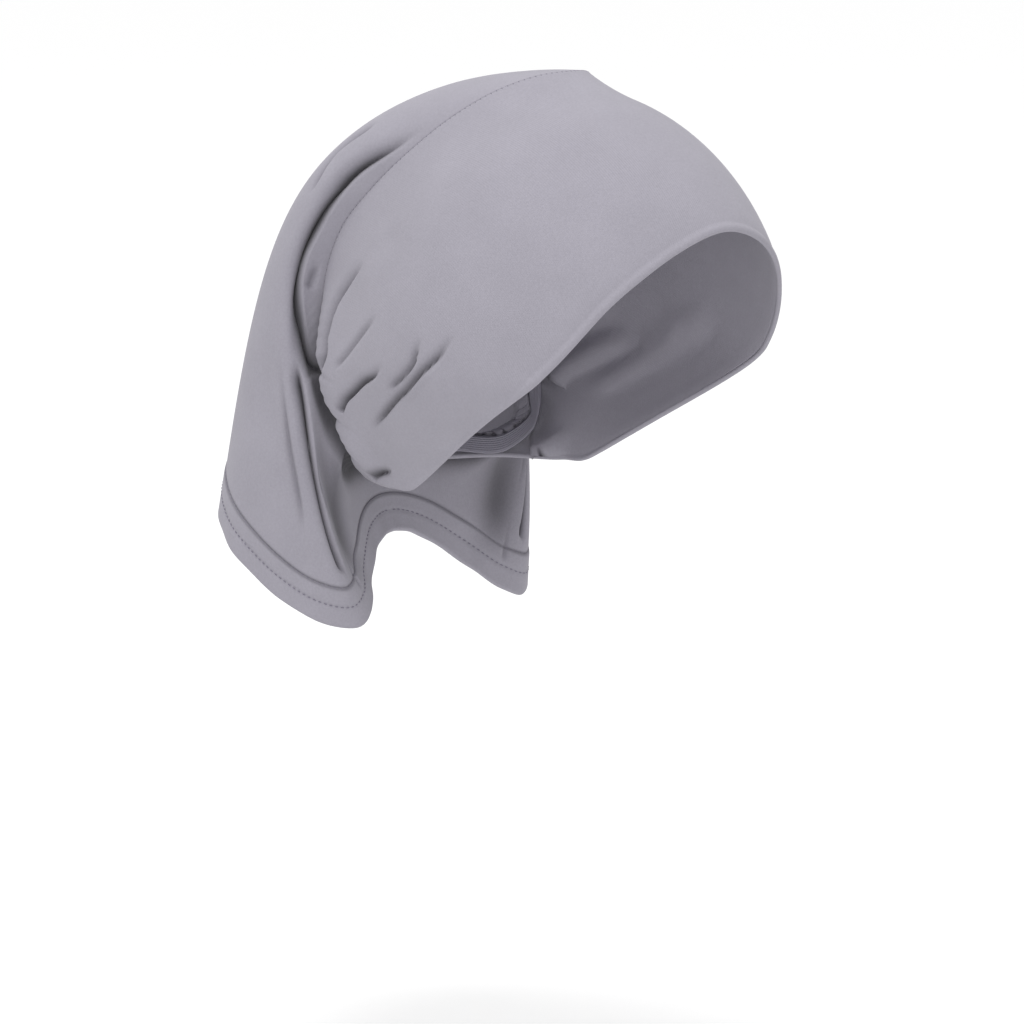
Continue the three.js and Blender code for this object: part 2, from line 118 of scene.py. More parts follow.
TAIL_FOLDS = (
    {"lap": (0.226, 0.25, 0.276, 0.3, 0.326, 0.358, 0.392, 0.425, 0.446, 0.46, 0.478, 0.5,
             0.536, 0.57, 0.598, 0.626, 0.656),
     "fall": (0.022, 0.032, 0.046, 0.065, 0.09, 0.112, 0.126, 0.144, 0.18, 0.228, 0.262, 0.266,
              0.245, 0.232, 0.222, 0.19, 0.12),
     "depth": 0.85, "width": 0.8, "steep": 0.25, "crease": 0.85, "fade": (0.3, 0.03),
     "shade": 0.3},
    {"lap": (0.182, 0.2, 0.21, 0.224, 0.252, 0.284, 0.322),
     "fall": (0.19, 0.21, 0.238, 0.27, 0.286, 0.292, 0.3),
     "depth": 0.8, "width": 0.7, "steep": 0.35, "crease": 0.85, "fade": (0.35, 0.4)},
    {"lap": (0.494, 0.518, 0.53), "fall": (0.072, 0.103, 0.135),
     "depth": 0.2, "width": 0.4, "steep": 0.8, "crease": 0.5, "fade": (0.4, 0.3)},
    {"lap": (0.555, 0.572, 0.59, 0.602, 0.61, 0.616, 0.622, 0.628, 0.638, 0.652),
     "fall": (0.38, 0.42, 0.455, 0.51, 0.575, 0.63, 0.69, 0.75, 0.812, 0.872),
     "depth": 0.6, "width": 0.6, "steep": 0.4, "crease": 0.85, "fade": (0.15, 0.05)},
    {"lap": (0.634, 0.645, 0.668, 0.686, 0.697), "fall": (0.53, 0.62, 0.72, 0.84, 0.94),
     "depth": 0.18, "width": 0.5, "steep": 0.6, "crease": 0.7, "fade": (0.3, 0.1)},
    {"lap": (0.46, 0.502, 0.53, 0.55, 0.552), "fall": (0.532, 0.6, 0.675, 0.763, 0.848),
     "depth": 0.16, "width": 0.3, "steep": 0.6, "crease": 0.8, "fade": (0.4, 0.3)},
    {"lap": (0.376, 0.436, 0.466), "fall": (0.608, 0.69, 0.795),
     "depth": 0.22, "width": 2, "steep": 1, "crease": 0, "fade": (0.5, 0.5)},
    # The hollow beside the nape, darkened with strong painted shade
    {"lap": (0.68, 0.715, 0.735, 0.725, 0.705), "fall": (0.33, 0.43, 0.6, 0.8, 0.96),
     "depth": 0.35, "width": 1.8, "steep": 0.9, "crease": 0, "fade": (0.6, 0.35),
     "shade": 0.75},
)

# Laps of the notches between the ruffles that the elastic pulls up, with their depth
NOTCHES = {
    "lap": (0.66, 0.722, 0.79, 0.855, 0.9, 0.94, 0.98),
    "depth": (0.7, 1, 0.8, 0.9, 0.7, 0.9, 0.7),
}

# Columns of cloth round the cap, and the laps that they crowd at: place, reach and how much
COLUMNS = 640
EVEN_CROWD = 0.6
CROWDED_LAPS = ((0.64, 0.2, 1), (0.34, 0.16, 0.5))

# Rows of cloth: from one share of its depth to another, in so many steps
PANEL_ROWS = ((0, 0.04, 7), (0.04, 0.2, 5), (0.2, 0.45, 26), (0.45, 1, 62))
TAIL_ROWS = ((0, 0.03, 8), (0.03, 0.42, 56), (0.42, 0.98, 34), (0.98, 1, 7))
HEM_ROWS, HEM_CROWD = 36, 0.4
ALLOWANCE_ROWS = 9

# Inner face of cloth: every how many rows it keeps, and the least width of its valleys
INNER_STEP, INNER_BLUNT = 4, 0.004

# Points along a fold, round the cap and round an edge, how close points are one point, and the
# step over which a slope is taken
LINE_POINTS, LAP_POINTS, TURN_POINTS, EDGE_STEPS = 81, 2001, 4001, 8
MERGED, NUDGE = 1e-7, 0.002

# Edges of cloth, as shares of a full round: folded, turned in and sewn, and cut
FOLDED, TURNED, CUT = 1, 0.6, 0.2

# Folds: how narrow their soft valleys are, the depth whose painted shade is fully dark, how far
# the painted shade reaches on the steep and on the soft side, and the least fold width that it is
# taken from
FOLD_TAIL, DARK_DEPTH = 1.8, 0.4
STEEP_SHADE, SOFT_SHADE, LEAST_SHADE = 0.7, 1.6, 0.5

# Crevice beside the ruffles: half width of the hollow, and reach of its painted shade, in
# crevice_reach
CREVICE_WIDTH, CREVICE_SHADE = 0.5, 2

# Brim: the groove behind its bead, by the bead's height and width
BEAD_GROOVE, GROOVE_PLACE, GROOVE_SHARP = 0.6, 1.5, 2.2

# Shares: height of the puckers where nothing is gathered, and start of the seam allowance
PUCKER_START, ALLOWANCE_START = 0.1, 0.1

# Hem: painted shade of the line where it is sewn on, waves of its edge from the crown to the nape,
# and the share of its width at which the second row of stitches runs
HEM_SHADE, HEM_WAVES, SECOND_ROW = 0.45, 11, 0.5

# Stitches: thread that shows in a pitch, its height to its width, and how far it is sunk
HEM_STITCH, FLAT_THREAD, SUNK_THREAD = 0.62, 0.8, 0.2
ELASTIC_COLUMNS, ELASTIC_ROWS = 181, 9

# Cloth: slant of a stitch's legs and its height beside the ribs, what painted shade leaves of the
# colour in the darkest crease, and height of the elastic's crossing threads beside its cords
LEG_SLANT, LOOP_SHARE, PAINTED_CREASE_TONE, THREAD_SHARE = 1.2, 0.35, 0.15, 0.5

# Studio: a floor, light from all round that changes between two heights and grows above, and
# two soft lamps (place, size and power)
FLOOR_SIZE, FLOOR_LEVEL = 20, -0.4
SKY = (-0.3, 0.1, 0.92, 0.64)
SKY_ABOVE = 0.53
LAMPS = (
    ("key", (-0.5, 0, 2.5), 1.2, 20),
    ("fill", (-1.9, -1.2, 0.1), 1, 9),
)
LAMP_AIM = (0, 0.03, -0.08)

# Camera: turn and rise in degrees, distance in metres, pixels to the millimetre at the crown
AZIMUTH, ELEVATION, DISTANCE, PIXELS_PER_MM = -48, 9.5, 1.9, 2.6
PICTURE, SENSOR = 1024, 36
CROWN_PIXEL = (571, 71)


def length(name, description, default):
    return bpy.props.FloatProperty(
        name=name, description=description, default=default, unit="LENGTH", precision=4
    )


def share(name, description, default):
    return bpy.props.FloatProperty(
        name=name, description=description, default=default, min=0, max=1, subtype="FACTOR"
    )


def linear(hex_colour):
    """Turns an sRGB hex colour into Blender's linear red, green and blue."""
    parts = [int(hex_colour[i:i + 2], 16) / 255 for i in (1, 3, 5)]
    return tuple(p / 12.92 if p <= 0.04045 else ((p + 0.055) / 1.055) ** 2.4 for p in parts)


def colour(name, description, hex_colour):
    return bpy.props.FloatVectorProperty(
        name=name, description=description, default=linear(hex_colour),
        subtype="COLOR", size=3, min=0, max=1,
    )


class CapSizes(bpy.types.PropertyGroup):
    """Real sizes of the cap as it is worn."""

    crown_width: length("Crown width", "Across the cap above the ears", 0.156)
    crown_length: length("Crown length", "From the forehead to the back of the head", 0.197)
    crown_rise: length("Crown rise", "From the widest level up to the top", 0.104)
    crown_back: length("Crown back", "How far the crown's middle lies behind the origin", 0.006)
    seam_tent: length("Seam tent", "How far the seam lifts the cloth off the crown", 0.0055)
    tent_reach: length("Tent reach", "How far in front of the seam the lift fades out", 0.024)
    nape_width: length("Nape width", "Across the cap at the nape", 0.1)
    nape_length: length("Nape length", "Front to back at the nape", 0.1)
    nape_back: length("Nape back", "How far the nape's middle lies behind the origin", 0.036)
    nape_drop: length("Nape drop", "From the top down to the nape", 0.165)
    cap_drop: length("Cap drop", "From the top down to the lowest edge of the panel", 0.162)
    tail_width: length("Tail width", "Across the tail", 0.144)
    tail_back: length("Tail back", "How far the tail reaches behind the origin", 0.153)
    tail_drop: length("Tail drop", "From the top down to the tail's lowest edge", 0.219)
    panel_wall: length("Panel wall", "Two plies of jersey and the air between them", 0.002)
    tail_wall: length("Tail wall", "One ply of jersey", 0.0014)
    hem_wall: length("Hem wall", "The turned hem", 0.0024)
    hem_width: length("Hem width", "Depth of the turned hem", 0.016)
    hem_wave: length("Hem wave", "How far the hem's edge waves", 0.0003)
    crease_depth: length("Stitch crease depth", "How far stitches pull the cloth in", 0.0003)
    crease_width: length("Stitch crease width", "How far the pulled cloth reaches", 0.0009)
    seam_gap: length("Seam gap", "Between two cloths that are sewn together", 0.0004)
    allowance: length("Seam allowance", "Width of the sewn edges inside the crown seam", 0.006)
    allowance_wall: length("Allowance wall", "Thickness of the sewn edges", 0.0011)
    elastic_width: length("Elastic width", "Width of the nape elastic", 0.007)
    elastic_wall: length("Elastic wall", "Thickness of the nape elastic", 0.0012)
    elastic_gap: length("Elastic gap", "Between the panel and the elastic", 0.0006)
    elastic_start: share("Elastic start", "Lap of the seam at which the elastic starts", 0.64)
    gather_start: share("Gather start", "Lap of the seam at which the gathers start", 0.5)
    gather_full: share("Gather full", "Lap of the seam at which the gathers are full", 0.68)
    gather_lift: length("Gather lift", "How far the gathered cloth swells", 0.007)
    gather_reach: length("Gather reach", "How far from the seam it swells most", 0.0065)
    gather_lean: length("Gather lean", "How far the ruffles hang over the seam", 0.0034)
    crevice_reach: length("Crevice reach", "From the seam to the deepest of the crevice", 0.0085)
    lean_reach: length("Lean reach", "How far from the seam they lean most", 0.0028)
    tail_sink: length("Tail sink", "Depth of the crevice between the tail and the ruffles", 0.0025)
    ruffle_width: share("Ruffle width", "Half width of a notch, as a lap of the seam", 0.022)
    brim_bead: length("Brim bead", "How proud the folded brim stands", 0.0004)
    bead_width: length("Bead width", "Width of the folded brim's bead", 0.0022)
    crease_soft: length("Crease softness", "Roundness at the bottom of a crease", 0.0006)
    pucker_pitch: share("Pucker pitch", "From one fine pucker to the next, as a lap", 0.017)
    pucker_depth: length("Pucker depth", "Height of the fine puckers by the seam", 0.0002)
    brim_flat: length("Brim flat", "Depth of the brim that the gathers leave flat", 0.004)
    fold_start: length("Fold start", "Flat cloth between the seam and the folds", 0.0006)
    fold_depth: length("Fold depth", "Depth of the deepest fold", 0.009)
    shade_width: length("Fold shade", "Half width of the shade in the broadest crease", 0.0022)
    fold_width: length("Fold width", "Half width of the broadest fold", 0.009)
    stitch_pitch: length("Stitch pitch", "From one stitch to the next", 0.0023)
    stitch_length: length("Stitch length", "Length of thread that shows at a stitch", 0.0012)
    thread_width: length("Thread width", "Thickness of the sewing thread", 0.00045)


class CapLook(bpy.types.PropertyGroup):
    """Colours and surface sizes of the cloth."""

    jersey: colour("Jersey", "Dyed viscose jersey", "#9d9aa4")
    elastic: colour("Elastic", "Woven elastic", "#8f8c98")
    # The thread is darker than the jersey: painted shade of the dimples that it lies in
    thread: colour("Thread", "Sewing thread in its dimples", "#787482")
    floor: colour("Floor", "Pale studio floor", "#ffffff")
    wale_pitch: length("Wale pitch", "From one column of stitches to the next", 0.0009)
    course_pitch: length("Course pitch", "From one row of stitches to the next", 0.0008)
    rib_pitch: length("Rib pitch", "From one rubber cord of the elastic to the next", 0.0009)
    pick_pitch: length("Pick pitch", "From one crossing thread of the elastic to the next", 0.0006)


def sizes():
    return bpy.context.scene.cap_sizes


def look():
    return bpy.context.scene.cap_look


def side_of(turn):
    return np.where(turn > 0, -1.0, 1.0)


def ease(x):
    x = np.clip(x, 0, 1)
    return x * x * (3 - 2 * x)


def unit(vectors):
    return vectors / np.maximum(np.linalg.norm(vectors, axis=-1, keepdims=True), 1e-12)


def read(table, key, column, at, odd=False):
    """Smooth curve through a column, mirrored past its ends, where an odd column turns over."""
    x = np.array(table[key], float)
    y = np.array(table[column], float)
    before, after = (2 * y[0] - y[1], 2 * y[-1] - y[-2]) if odd else (y[1], y[-2])
    x = np.concatenate(([2 * x[0] - x[1]], x, [2 * x[-1] - x[-2]]))
    y = np.concatenate(([before], y, [after]))
    step = np.diff(x)
    rise = np.diff(y) / step
    slope = (rise[:-1] * step[1:] + rise[1:] * step[:-1]) / (step[:-1] + step[1:])
    at = np.asarray(at, float)
    i = np.clip(np.searchsorted(x, at, side="right") - 1, 1, len(x) - 3)
    t = (at - x[i]) / step[i]
    start, end = slope[i - 1] * step[i], slope[i] * step[i]
    return (
        y[i] * (2 * t**3 - 3 * t**2 + 1) + start * (t**3 - 2 * t**2 + t)
        + y[i + 1] * (3 * t**2 - 2 * t**3) + end * (t**3 - t**2)
    )


def loop_point(table, lap, half_width, back, drop):
    return np.stack([
        half_width * read(table, "lap", "across", lap, odd=True),
        back * read(table, "lap", "back", lap),
        sizes().panel_wall - drop * read(table, "lap", "drop", lap),
    ], axis=-1)


def crown_top():
    return sizes().panel_wall - sizes().seam_tent


def form_ring(z):
    """Half width, half length and middle of the crown's form at a height."""
    s = sizes()
    below = crown_top() - z
    rise = np.clip(1 - below / s.crown_rise, 0, 1)
    spread = np.sqrt(1 - rise**2)
    nape = ease((below - s.crown_rise) / (s.nape_drop - s.crown_rise))
    return (
        s.crown_width / 2 * spread * (1 - nape) + s.nape_width / 2 * nape,
        s.crown_length / 2 * spread * (1 - nape) + s.nape_length / 2 * nape,
        s.crown_back * (1 - nape) + s.nape_back * nape,
    )


def form_point(turn, reach):
    """Place on the crown's form: reach is 0 at the top and 1 at the widest level."""
    tilt = np.minimum(reach, 1) * math.pi / 2
    fall = 1 - np.cos(tilt) + np.maximum(reach - 1, 0) * math.pi / 2
    z = crown_top() - sizes().crown_rise * fall
    half_width, half_length, middle = form_ring(z)
    return np.stack(
        [half_width * np.sin(turn), middle - half_length * np.cos(turn), z], axis=-1
    )


def form_normal(turn, reach):
    s = sizes()
    tilt = np.minimum(reach, 1) * math.pi / 2
    return unit(np.stack([
        np.sin(tilt) * np.sin(turn) / s.crown_width,
        -np.sin(tilt) * np.cos(turn) / s.crown_length,
        np.cos(tilt) / (2 * s.crown_rise),
    ], axis=-1))


def reach_of_depth(below):
    rise = sizes().crown_rise
    upper = np.arccos(np.clip(1 - below / rise, -1, 1)) / (math.pi / 2)
    return np.where(below > rise, 1 + (below - rise) / (rise * math.pi / 2), upper)


def form_place(points):
    """Turn and reach of points that lie near the form."""
    s = sizes()
    x, y, z = points[..., 0], points[..., 1], points[..., 2]
    below = crown_top() - z
    half_width, half_length, middle = form_ring(z)
    low = below > s.crown_rise
    side = x / (s.crown_width / 2)
    front = (s.crown_back - y) / (s.crown_length / 2)
    up = 1 - below / s.crown_rise
    low_turn = np.arctan2(
        x / np.maximum(half_width, 1e-9), (middle - y) / np.maximum(half_length, 1e-9)
    )
    turn = np.where(low, low_turn, np.arctan2(side, front))
    high_reach = np.arctan2(np.hypot(side, front), up) / (math.pi / 2)
    return turn, np.where(low, reach_of_depth(below), high_reach)


def seam_point(lap):
    s = sizes()
    return loop_point(SEAM, lap, s.crown_width / 2, s.crown_length / 2, s.cap_drop)


def seam_normal(lap):
    return form_normal(*form_place(seam_point(lap)))


def seam_past(lap):
    """Direction across the seam, from the panel to the tail."""
    along = seam_point(lap + NUDGE) - seam_point(lap - NUDGE)
    return unit(np.cross(seam_normal(lap), along))


def fold_lines(folds, place, u, v):
    """Each fold with the places that it runs through on the smooth cloth."""
    for fold in folds:
        count = len(fold[u])
        column = {"at": np.arange(count), u: fold[u], v: fold[v]}
        at = np.linspace(0, count - 1, LINE_POINTS)
        yield fold, place(*(read(column, "at", key, at, odd=True) for key in (u, v)))


def roll(away, width):
    """Height of cloth that rolls over into a crease: 1 at its bottom and 0 a width away."""
    soft = sizes().crease_soft
    near = np.clip(1 - (np.sqrt(away**2 + soft**2) - soft) / width, 0, 1)
    return 1 - np.sqrt(1 - near**2)


def fold_push(points, outwards, folds, blunt=0):
    """How far the folds push points of the smooth cloth, and how much painted shade darkens them.

    Blunt is the least width of the soft valleys that the creases leave on the inner face.
    """
    s = sizes()
    valley = np.zeros(points.shape[:-1])
    painted_shade = np.zeros(points.shape[:-1])
    for fold, line in folds:
        full = s.fold_width * fold["width"]
        middle = line.mean(axis=0)
        span = np.linalg.norm(line - middle, axis=-1).max() + 2 * full
        near = np.linalg.norm(points - middle, axis=-1) < span
        place = points[near]
        nearest = np.linalg.norm(place[:, None, :] - line, axis=-1).argmin(axis=-1)
        steps = np.gradient(line, axis=0)[nearest]
        run, step = unit(steps), np.linalg.norm(steps, axis=-1)
        offset = place - line[nearest]
        slide = np.clip(np.einsum("ik,ik->i", offset, run), -step, step)
        away = np.linalg.norm(offset - run * slide[:, None], axis=-1)
        along = np.clip((nearest + slide / step) / (len(line) - 1), 0, 1)
        strength = ease(along / fold["fade"][0]) * ease((1 - along) / fold["fade"][1])
        side = np.einsum("ik,ik->i", np.cross(run, outwards[near]), offset)
        width = full * np.where(side > 0, fold["steep"], 1)
        crease = roll(away, width)
        hollow = np.exp(-(FOLD_TAIL * away / width)**2)
        sharp = 0 if blunt else fold["crease"]
        if blunt:
            hollow = np.exp(-(away / np.maximum(width, blunt))**2)
        valley[near] = np.maximum(
            valley[near], fold["depth"] * strength * (sharp * crease + (1 - sharp) * hollow)
        )
        # Painted shade along the crease, and over the hollow of a fold that has a shade
        reach = s.shade_width * max(fold["width"], LEAST_SHADE)
        pale = reach * np.where(side > 0, STEEP_SHADE, SOFT_SHADE)
        dark = min(fold["depth"] / DARK_DEPTH, 1) * sharp * strength * np.exp(-(away / pale)**2)
        dark = np.maximum(dark, fold.get("shade", 0) * strength * hollow)
        painted_shade[near] = np.maximum(painted_shade[near], dark)
    return -s.fold_depth * valley, painted_shade


def fold_share(from_seam):
    s = sizes()
    return np.clip((from_seam - s.fold_start) / (2 * s.fold_start), 0, 1)


def hump(distance, reach):
    """Rises from 0 to 1 at a reach, then dies away."""
    near = distance / reach
    return near * np.exp(1 - near)


def gathered(lap, from_seam):
    """How full the gathers are, what the notches leave of them, and their fine puckers."""
    s = sizes()
    full = ease((lap - s.gather_start) / (s.gather_full - s.gather_start))
    notch = np.zeros_like(lap)
    for place, depth in zip(NOTCHES["lap"], NOTCHES["depth"]):
        near = np.clip(1 - np.abs(lap - place) / s.ruffle_width, 0, 1)
        notch = np.maximum(notch, depth * (1 - np.sqrt(1 - near**2)))
    left = 1 - notch * np.exp(-from_seam / s.gather_reach)
    share_full = PUCKER_START + (1 - PUCKER_START) * full
    wave = np.sin(2 * math.pi * lap / s.pucker_pitch) * share_full
    return full, left, s.pucker_depth * wave * hump(from_seam, s.lean_reach)


def crevice(full, from_seam):
    """How deep the tail lies in the crevice under the ruffles, and how much painted shade darkens
    it there.
    """
    reach = sizes().crevice_reach
    return (
        full * np.exp(-((from_seam - reach) / (CREVICE_WIDTH * reach))**2),
        full * np.exp(-(from_seam / (CREVICE_SHADE * reach))**4),
    )


def smooth_panel(lap, rise):
    """Front panel with no folds: rise is 0 at the brim and 1 at the seam."""
    s = sizes()
    turn = np.radians(read(SEAM, "lap", "turn", lap, odd=True))
    drop = read(BRIM, "turn", "drop", np.degrees(turn))
    brim_reach = reach_of_depth(drop * s.cap_drop - s.seam_tent)
    brim = form_point(turn, brim_reach)
    seam = seam_point(lap)
    top_turn, top_reach = form_place(seam)
    side = brim_reach * np.sin(turn) * (1 - rise) + top_reach * np.sin(top_turn) * rise
    front = brim_reach * np.cos(turn) * (1 - rise) + top_reach * np.cos(top_turn) * rise
    turn, reach = np.arctan2(side, front), np.hypot(side, front)
    span = np.linalg.norm(brim - seam, axis=-1)
    stand = seam - form_point(top_turn, top_reach)
    fade = np.clip(1 - (1 - rise) * span / s.tent_reach, 0, 1)**2
    point = form_point(turn, reach) + stand * fade[..., None]
    return point, form_normal(turn, reach), (1 - rise) * span, rise * span


def panel_surface(lap, rise, blunt=0):
    s = sizes()
    point, normal, from_seam, from_brim = smooth_panel(lap, rise)
    lines = fold_lines(
        PANEL_FOLDS,
        lambda turn, drop: form_point(
            np.radians(turn), reach_of_depth(drop * s.cap_drop - s.seam_tent)
        ),
        "turn", "drop",
    )
    folded, painted_shade = fold_push(point, normal, lines, blunt)
    folded = folded * fold_share(from_seam)
    seated = 1 - np.exp(-from_brim / s.brim_flat)
    full, left, pucker = gathered(lap, from_seam)
    swell = s.gather_lift * full * left * hump(from_seam, s.gather_reach)
    lean = s.gather_lean * full * left * hump(from_seam, s.lean_reach) * seated
    bead = s.brim_bead * (
        np.exp(-((from_brim - s.bead_width / 2) / (s.bead_width / 2))**2)
        - BEAD_GROOVE * np.exp(
            -((from_brim - s.bead_width * GROOVE_PLACE) / (s.bead_width / GROOVE_SHARP))**2
        )
    )
    push = (swell + pucker) * seated + folded + bead
    point = point + normal * push[..., None] + seam_past(lap) * lean[..., None]
    # Painted shade under the ruffles that lean over the seam, together with the painted shade of
    # the folds
    under = full * np.exp(-(from_seam / s.lean_reach)**2) * seated
    dark = np.maximum(painted_shade * fold_share(from_seam), under)
    return np.concatenate([point, dark[..., None]], axis=-1)


def tail_loop(table, lap):
    s = sizes()
    return loop_point(table, lap, s.tail_width / 2, s.tail_back, s.tail_drop)


def smooth_tail(lap, fall):
    """Tail with no folds: fall is 0 at the seam and 1 at the free edge."""
    start = seam_point(lap) + seam_past(lap) * sizes().seam_gap
    f = np.asarray(fall)[..., None]
    return (
        start * (1 - f)**3 + tail_loop(SHOULDER, lap) * 3 * f * (1 - f)**2
        + tail_loop(SIDE, lap) * 3 * f**2 * (1 - f) + tail_loop(EDGE, lap) * f**3
    )


def tail_normal(lap, fall):
    along = smooth_tail(lap + NUDGE, fall) - smooth_tail(lap - NUDGE, fall)
    down = smooth_tail(lap, fall + NUDGE) - smooth_tail(lap, fall - NUDGE)
    return unit(np.cross(along, down))


def tail_surface(lap, fall, blunt=0):
    s = sizes()
    point = smooth_tail(lap, fall)
    from_seam = np.linalg.norm(point - smooth_tail(lap, np.zeros_like(fall)), axis=-1)
    near = np.clip(from_seam / s.gather_reach, 0, 1)[..., None]
    normal = tail_normal(lap, fall)
    lines = fold_lines(TAIL_FOLDS, smooth_tail, "lap", "fall")
    folded, painted_shade = fold_push(point, normal, lines, blunt)
    folded = folded * fold_share(from_seam)
    outwards = unit(seam_normal(lap) * (1 - near) + normal * near)
    full, left, pucker = gathered(lap, from_seam)
    sunk, dim = crevice(full, from_seam)
    push = pucker + folded - s.tail_sink * left * sunk
    point = point + outwards * push[..., None]
    # Painted shade of the folds and of the crevice under the ruffles
    dark = np.maximum(painted_shade * fold_share(from_seam), dim)
    return np.concatenate([point, dark[..., None]], axis=-1)


def hem_crease(points, away, normal):
    """Sinks the cloth in the line of stitches where the tail meets its hem, and darkens it there
    with painted shade.
    """
    s = sizes()
    pulled = np.exp(-(away / s.crease_width)**2)
    points[..., :3] -= normal * (s.crease_depth * pulled)[..., None]
    # Painted shade in the line of stitches
    points[..., 3] = np.maximum(points[..., 3], HEM_SHADE * pulled)
    return points


def fall_from_edge(lap, distance):
    span = np.linalg.norm(tail_loop(EDGE, lap) - tail_loop(SIDE, lap), axis=-1)
    return 1 - distance / (3 * span)


def round_laps():
    """Laps once round the cap from nape to nape, closest where the folds are, and their sides."""
    laps = np.linspace(0, 1, LAP_POINTS)
    weight = EVEN_CROWD + sum(
        much * np.exp(-((laps - place) / reach)**2) for place, reach, much in CROWDED_LAPS
    )
    run = np.concatenate([[0], np.cumsum((weight[1:] + weight[:-1]) / 2)])
    turn = np.linspace(-1, 1, COLUMNS + 1)
    return np.interp(np.abs(turn) * run[-1], run, laps), side_of(turn)


def crowded(count, ends):
    """Shares from 0 to 1 that stand closer at both ends."""
    t = np.linspace(0, 1, count + 1)
    return t - ends * np.sin(2 * math.pi * t) / (2 * math.pi)


def stations(*spans):
    """Shares from 0 to 1: each span has its start, its end and the steps between them."""
    return np.concatenate([np.linspace(a, b, n, endpoint=False) for a, b, n in spans] + [[1]])


def grid_surface(surface, shares, blunt=0):
    """Points of a surface on a grid of rows that run once round the cap."""
    laps, sides = round_laps()
    lap, share_down = np.meshgrid(laps, shares)
    points = surface(lap, share_down, blunt)
    points[..., 0] *= sides
    return points


def grid_normals(points, seam_row=None, seam_normals=None):
    """Outward normals of a grid whose rows close round the cap."""
    ring = points[:, :-1, :3]
    along = np.roll(ring, -1, axis=1) - np.roll(ring, 1, axis=1)
    down = np.gradient(ring, axis=0)
    normals = unit(np.cross(down, along))
    normals = np.concatenate([normals, normals[:, :1]], axis=1)
    if seam_row is not None:
        normals[seam_row] = seam_normals
    return normals


def closed_cloth(outer, normals, wall, first_round, last_round, under=None, keep=None):
    """Rows of a closed body of cloth: the outer face, a rounded edge, the inner face, an edge.

    Each edge is rounded by its share of the wall: 1 gives a folded edge, 0 a cut one. Under is
    the blunter outer face that the inner face lies a wall below, with its own normals.
    """
    def edge(row, towards, roundness):
        out = unit((outer[row] - outer[towards])[..., :3])
        up = normals[row] * wall / 2
        turns = np.linspace(0, math.pi, EDGE_STEPS + 1)[1:-1]
        rows = np.array([outer[row]] * len(turns))
        rows[..., :3] += [
            up * (math.cos(a) - 1) + out * math.sin(a) * wall / 2 * roundness for a in turns
        ]
        return list(rows)

    face, slopes = (outer, normals) if under is None else under
    inner = face.copy()
    inner[0], inner[-1] = outer[0], outer[-1]
    inner[..., :3] -= np.concatenate([normals[:1], slopes[1:-1], normals[-1:]]) * wall
    inner[..., 3:] = 0
    if keep is not None:
        inner = inner[keep]
    rows = list(outer) + edge(-1, -2, last_round) + list(inner[::-1])
    return np.array(rows + edge(0, 1, first_round)[::-1] + [outer[0]])


def inner_rows(count):
    """Every few rows, closest at both ends, for the face that the folds leave smoother."""
    keep = set(range(0, count, INNER_STEP)) | set(range(4)) | set(range(count - 4, count))
    return sorted(keep)


def sewn_cloth(surface, shares, wall, seam_row, first_round):
    """Rows of a closed cloth that has the seam's normals in the row where it is sewn."""
    outer, under = grid_surface(surface, shares), grid_surface(surface, shares, INNER_BLUNT)
    laps, sides = round_laps()
    seam = seam_normal(laps)
    seam[:, 0] *= sides
    normals, slopes = (grid_normals(face, seam_row, seam) for face in (outer, under))
    return closed_cloth(outer, normals, wall, first_round, CUT, (under, slopes),
                        inner_rows(len(shares)))


def cloth_mesh(name, rows):
    """Mesh over rows of points that close both ways, with a UV map of lengths in metres."""
    height, width = rows.shape[0] - 1, rows.shape[1] - 1
    bm = bmesh.new()
    bmesh.ops.create_grid(bm, x_segments=width, y_segments=height, size=1)
    bm.verts.ensure_lookup_table()
    rows, dark = rows[..., :3], rows[..., 3:]
    across = np.cumsum(np.linalg.norm(np.diff(rows, axis=1, prepend=rows[:, :1]), axis=-1), axis=1)
    down = np.cumsum(np.linalg.norm(np.diff(rows, axis=0, prepend=rows[:1]), axis=-1), axis=0)
    across -= across[:, across.shape[1] // 2][:, None]
    place = np.array([v.co[:2] for v in bm.verts])
    column = np.rint((place[:, 0] + 1) / 2 * width).astype(int)
    row = np.rint((place[:, 1] + 1) / 2 * height).astype(int)
    flat = np.stack([across[row, column], down[row, column]], axis=-1)
    layer = bm.loops.layers.uv.new("cloth")
    for face in bm.faces:
        for loop in face.loops:
            loop[layer].uv = flat[loop.vert.index]
    for vert, point in zip(bm.verts, rows[row, column]):
        vert.co = point
    # The fourth column is painted shade, kept as the crease attribute that darkens the colour
    if dark.size:
        crease = bm.verts.layers.float.new("crease")
        for vert, depth in zip(bm.verts, dark[row, column, 0]):
            vert[crease] = depth
    bmesh.ops.remove_doubles(bm, verts=bm.verts, dist=MERGED)
    open_ends = [edge for edge in bm.edges if edge.is_boundary]
    if open_ends:
        bmesh.ops.edgeloop_fill(bm, edges=open_ends)
    bmesh.ops.recalc_face_normals(bm, faces=bm.faces)
    if bm.calc_volume(signed=True) < 0:
        bmesh.ops.reverse_faces(bm, faces=bm.faces)
    return finish_piece(name, bm)


def finish_piece(name, bm):
    """Object at the origin from a bmesh, with smooth faces."""
    for face in bm.faces:
        face.smooth = True
    mesh = bpy.data.meshes.new(name)
    bm.to_mesh(mesh)
    bm.free()
    piece = bpy.data.objects.new(name, mesh)
    bpy.context.scene.collection.objects.link(piece)
    return piece


def dress(piece, material, slot, *nodes):
    """Gives a piece its material and the solids that it stands for; the slot is not used."""
    piece.data.materials.clear()
    piece.data.materials.append(material)
    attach(piece, "root")
    if nodes:
        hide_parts(*nodes)


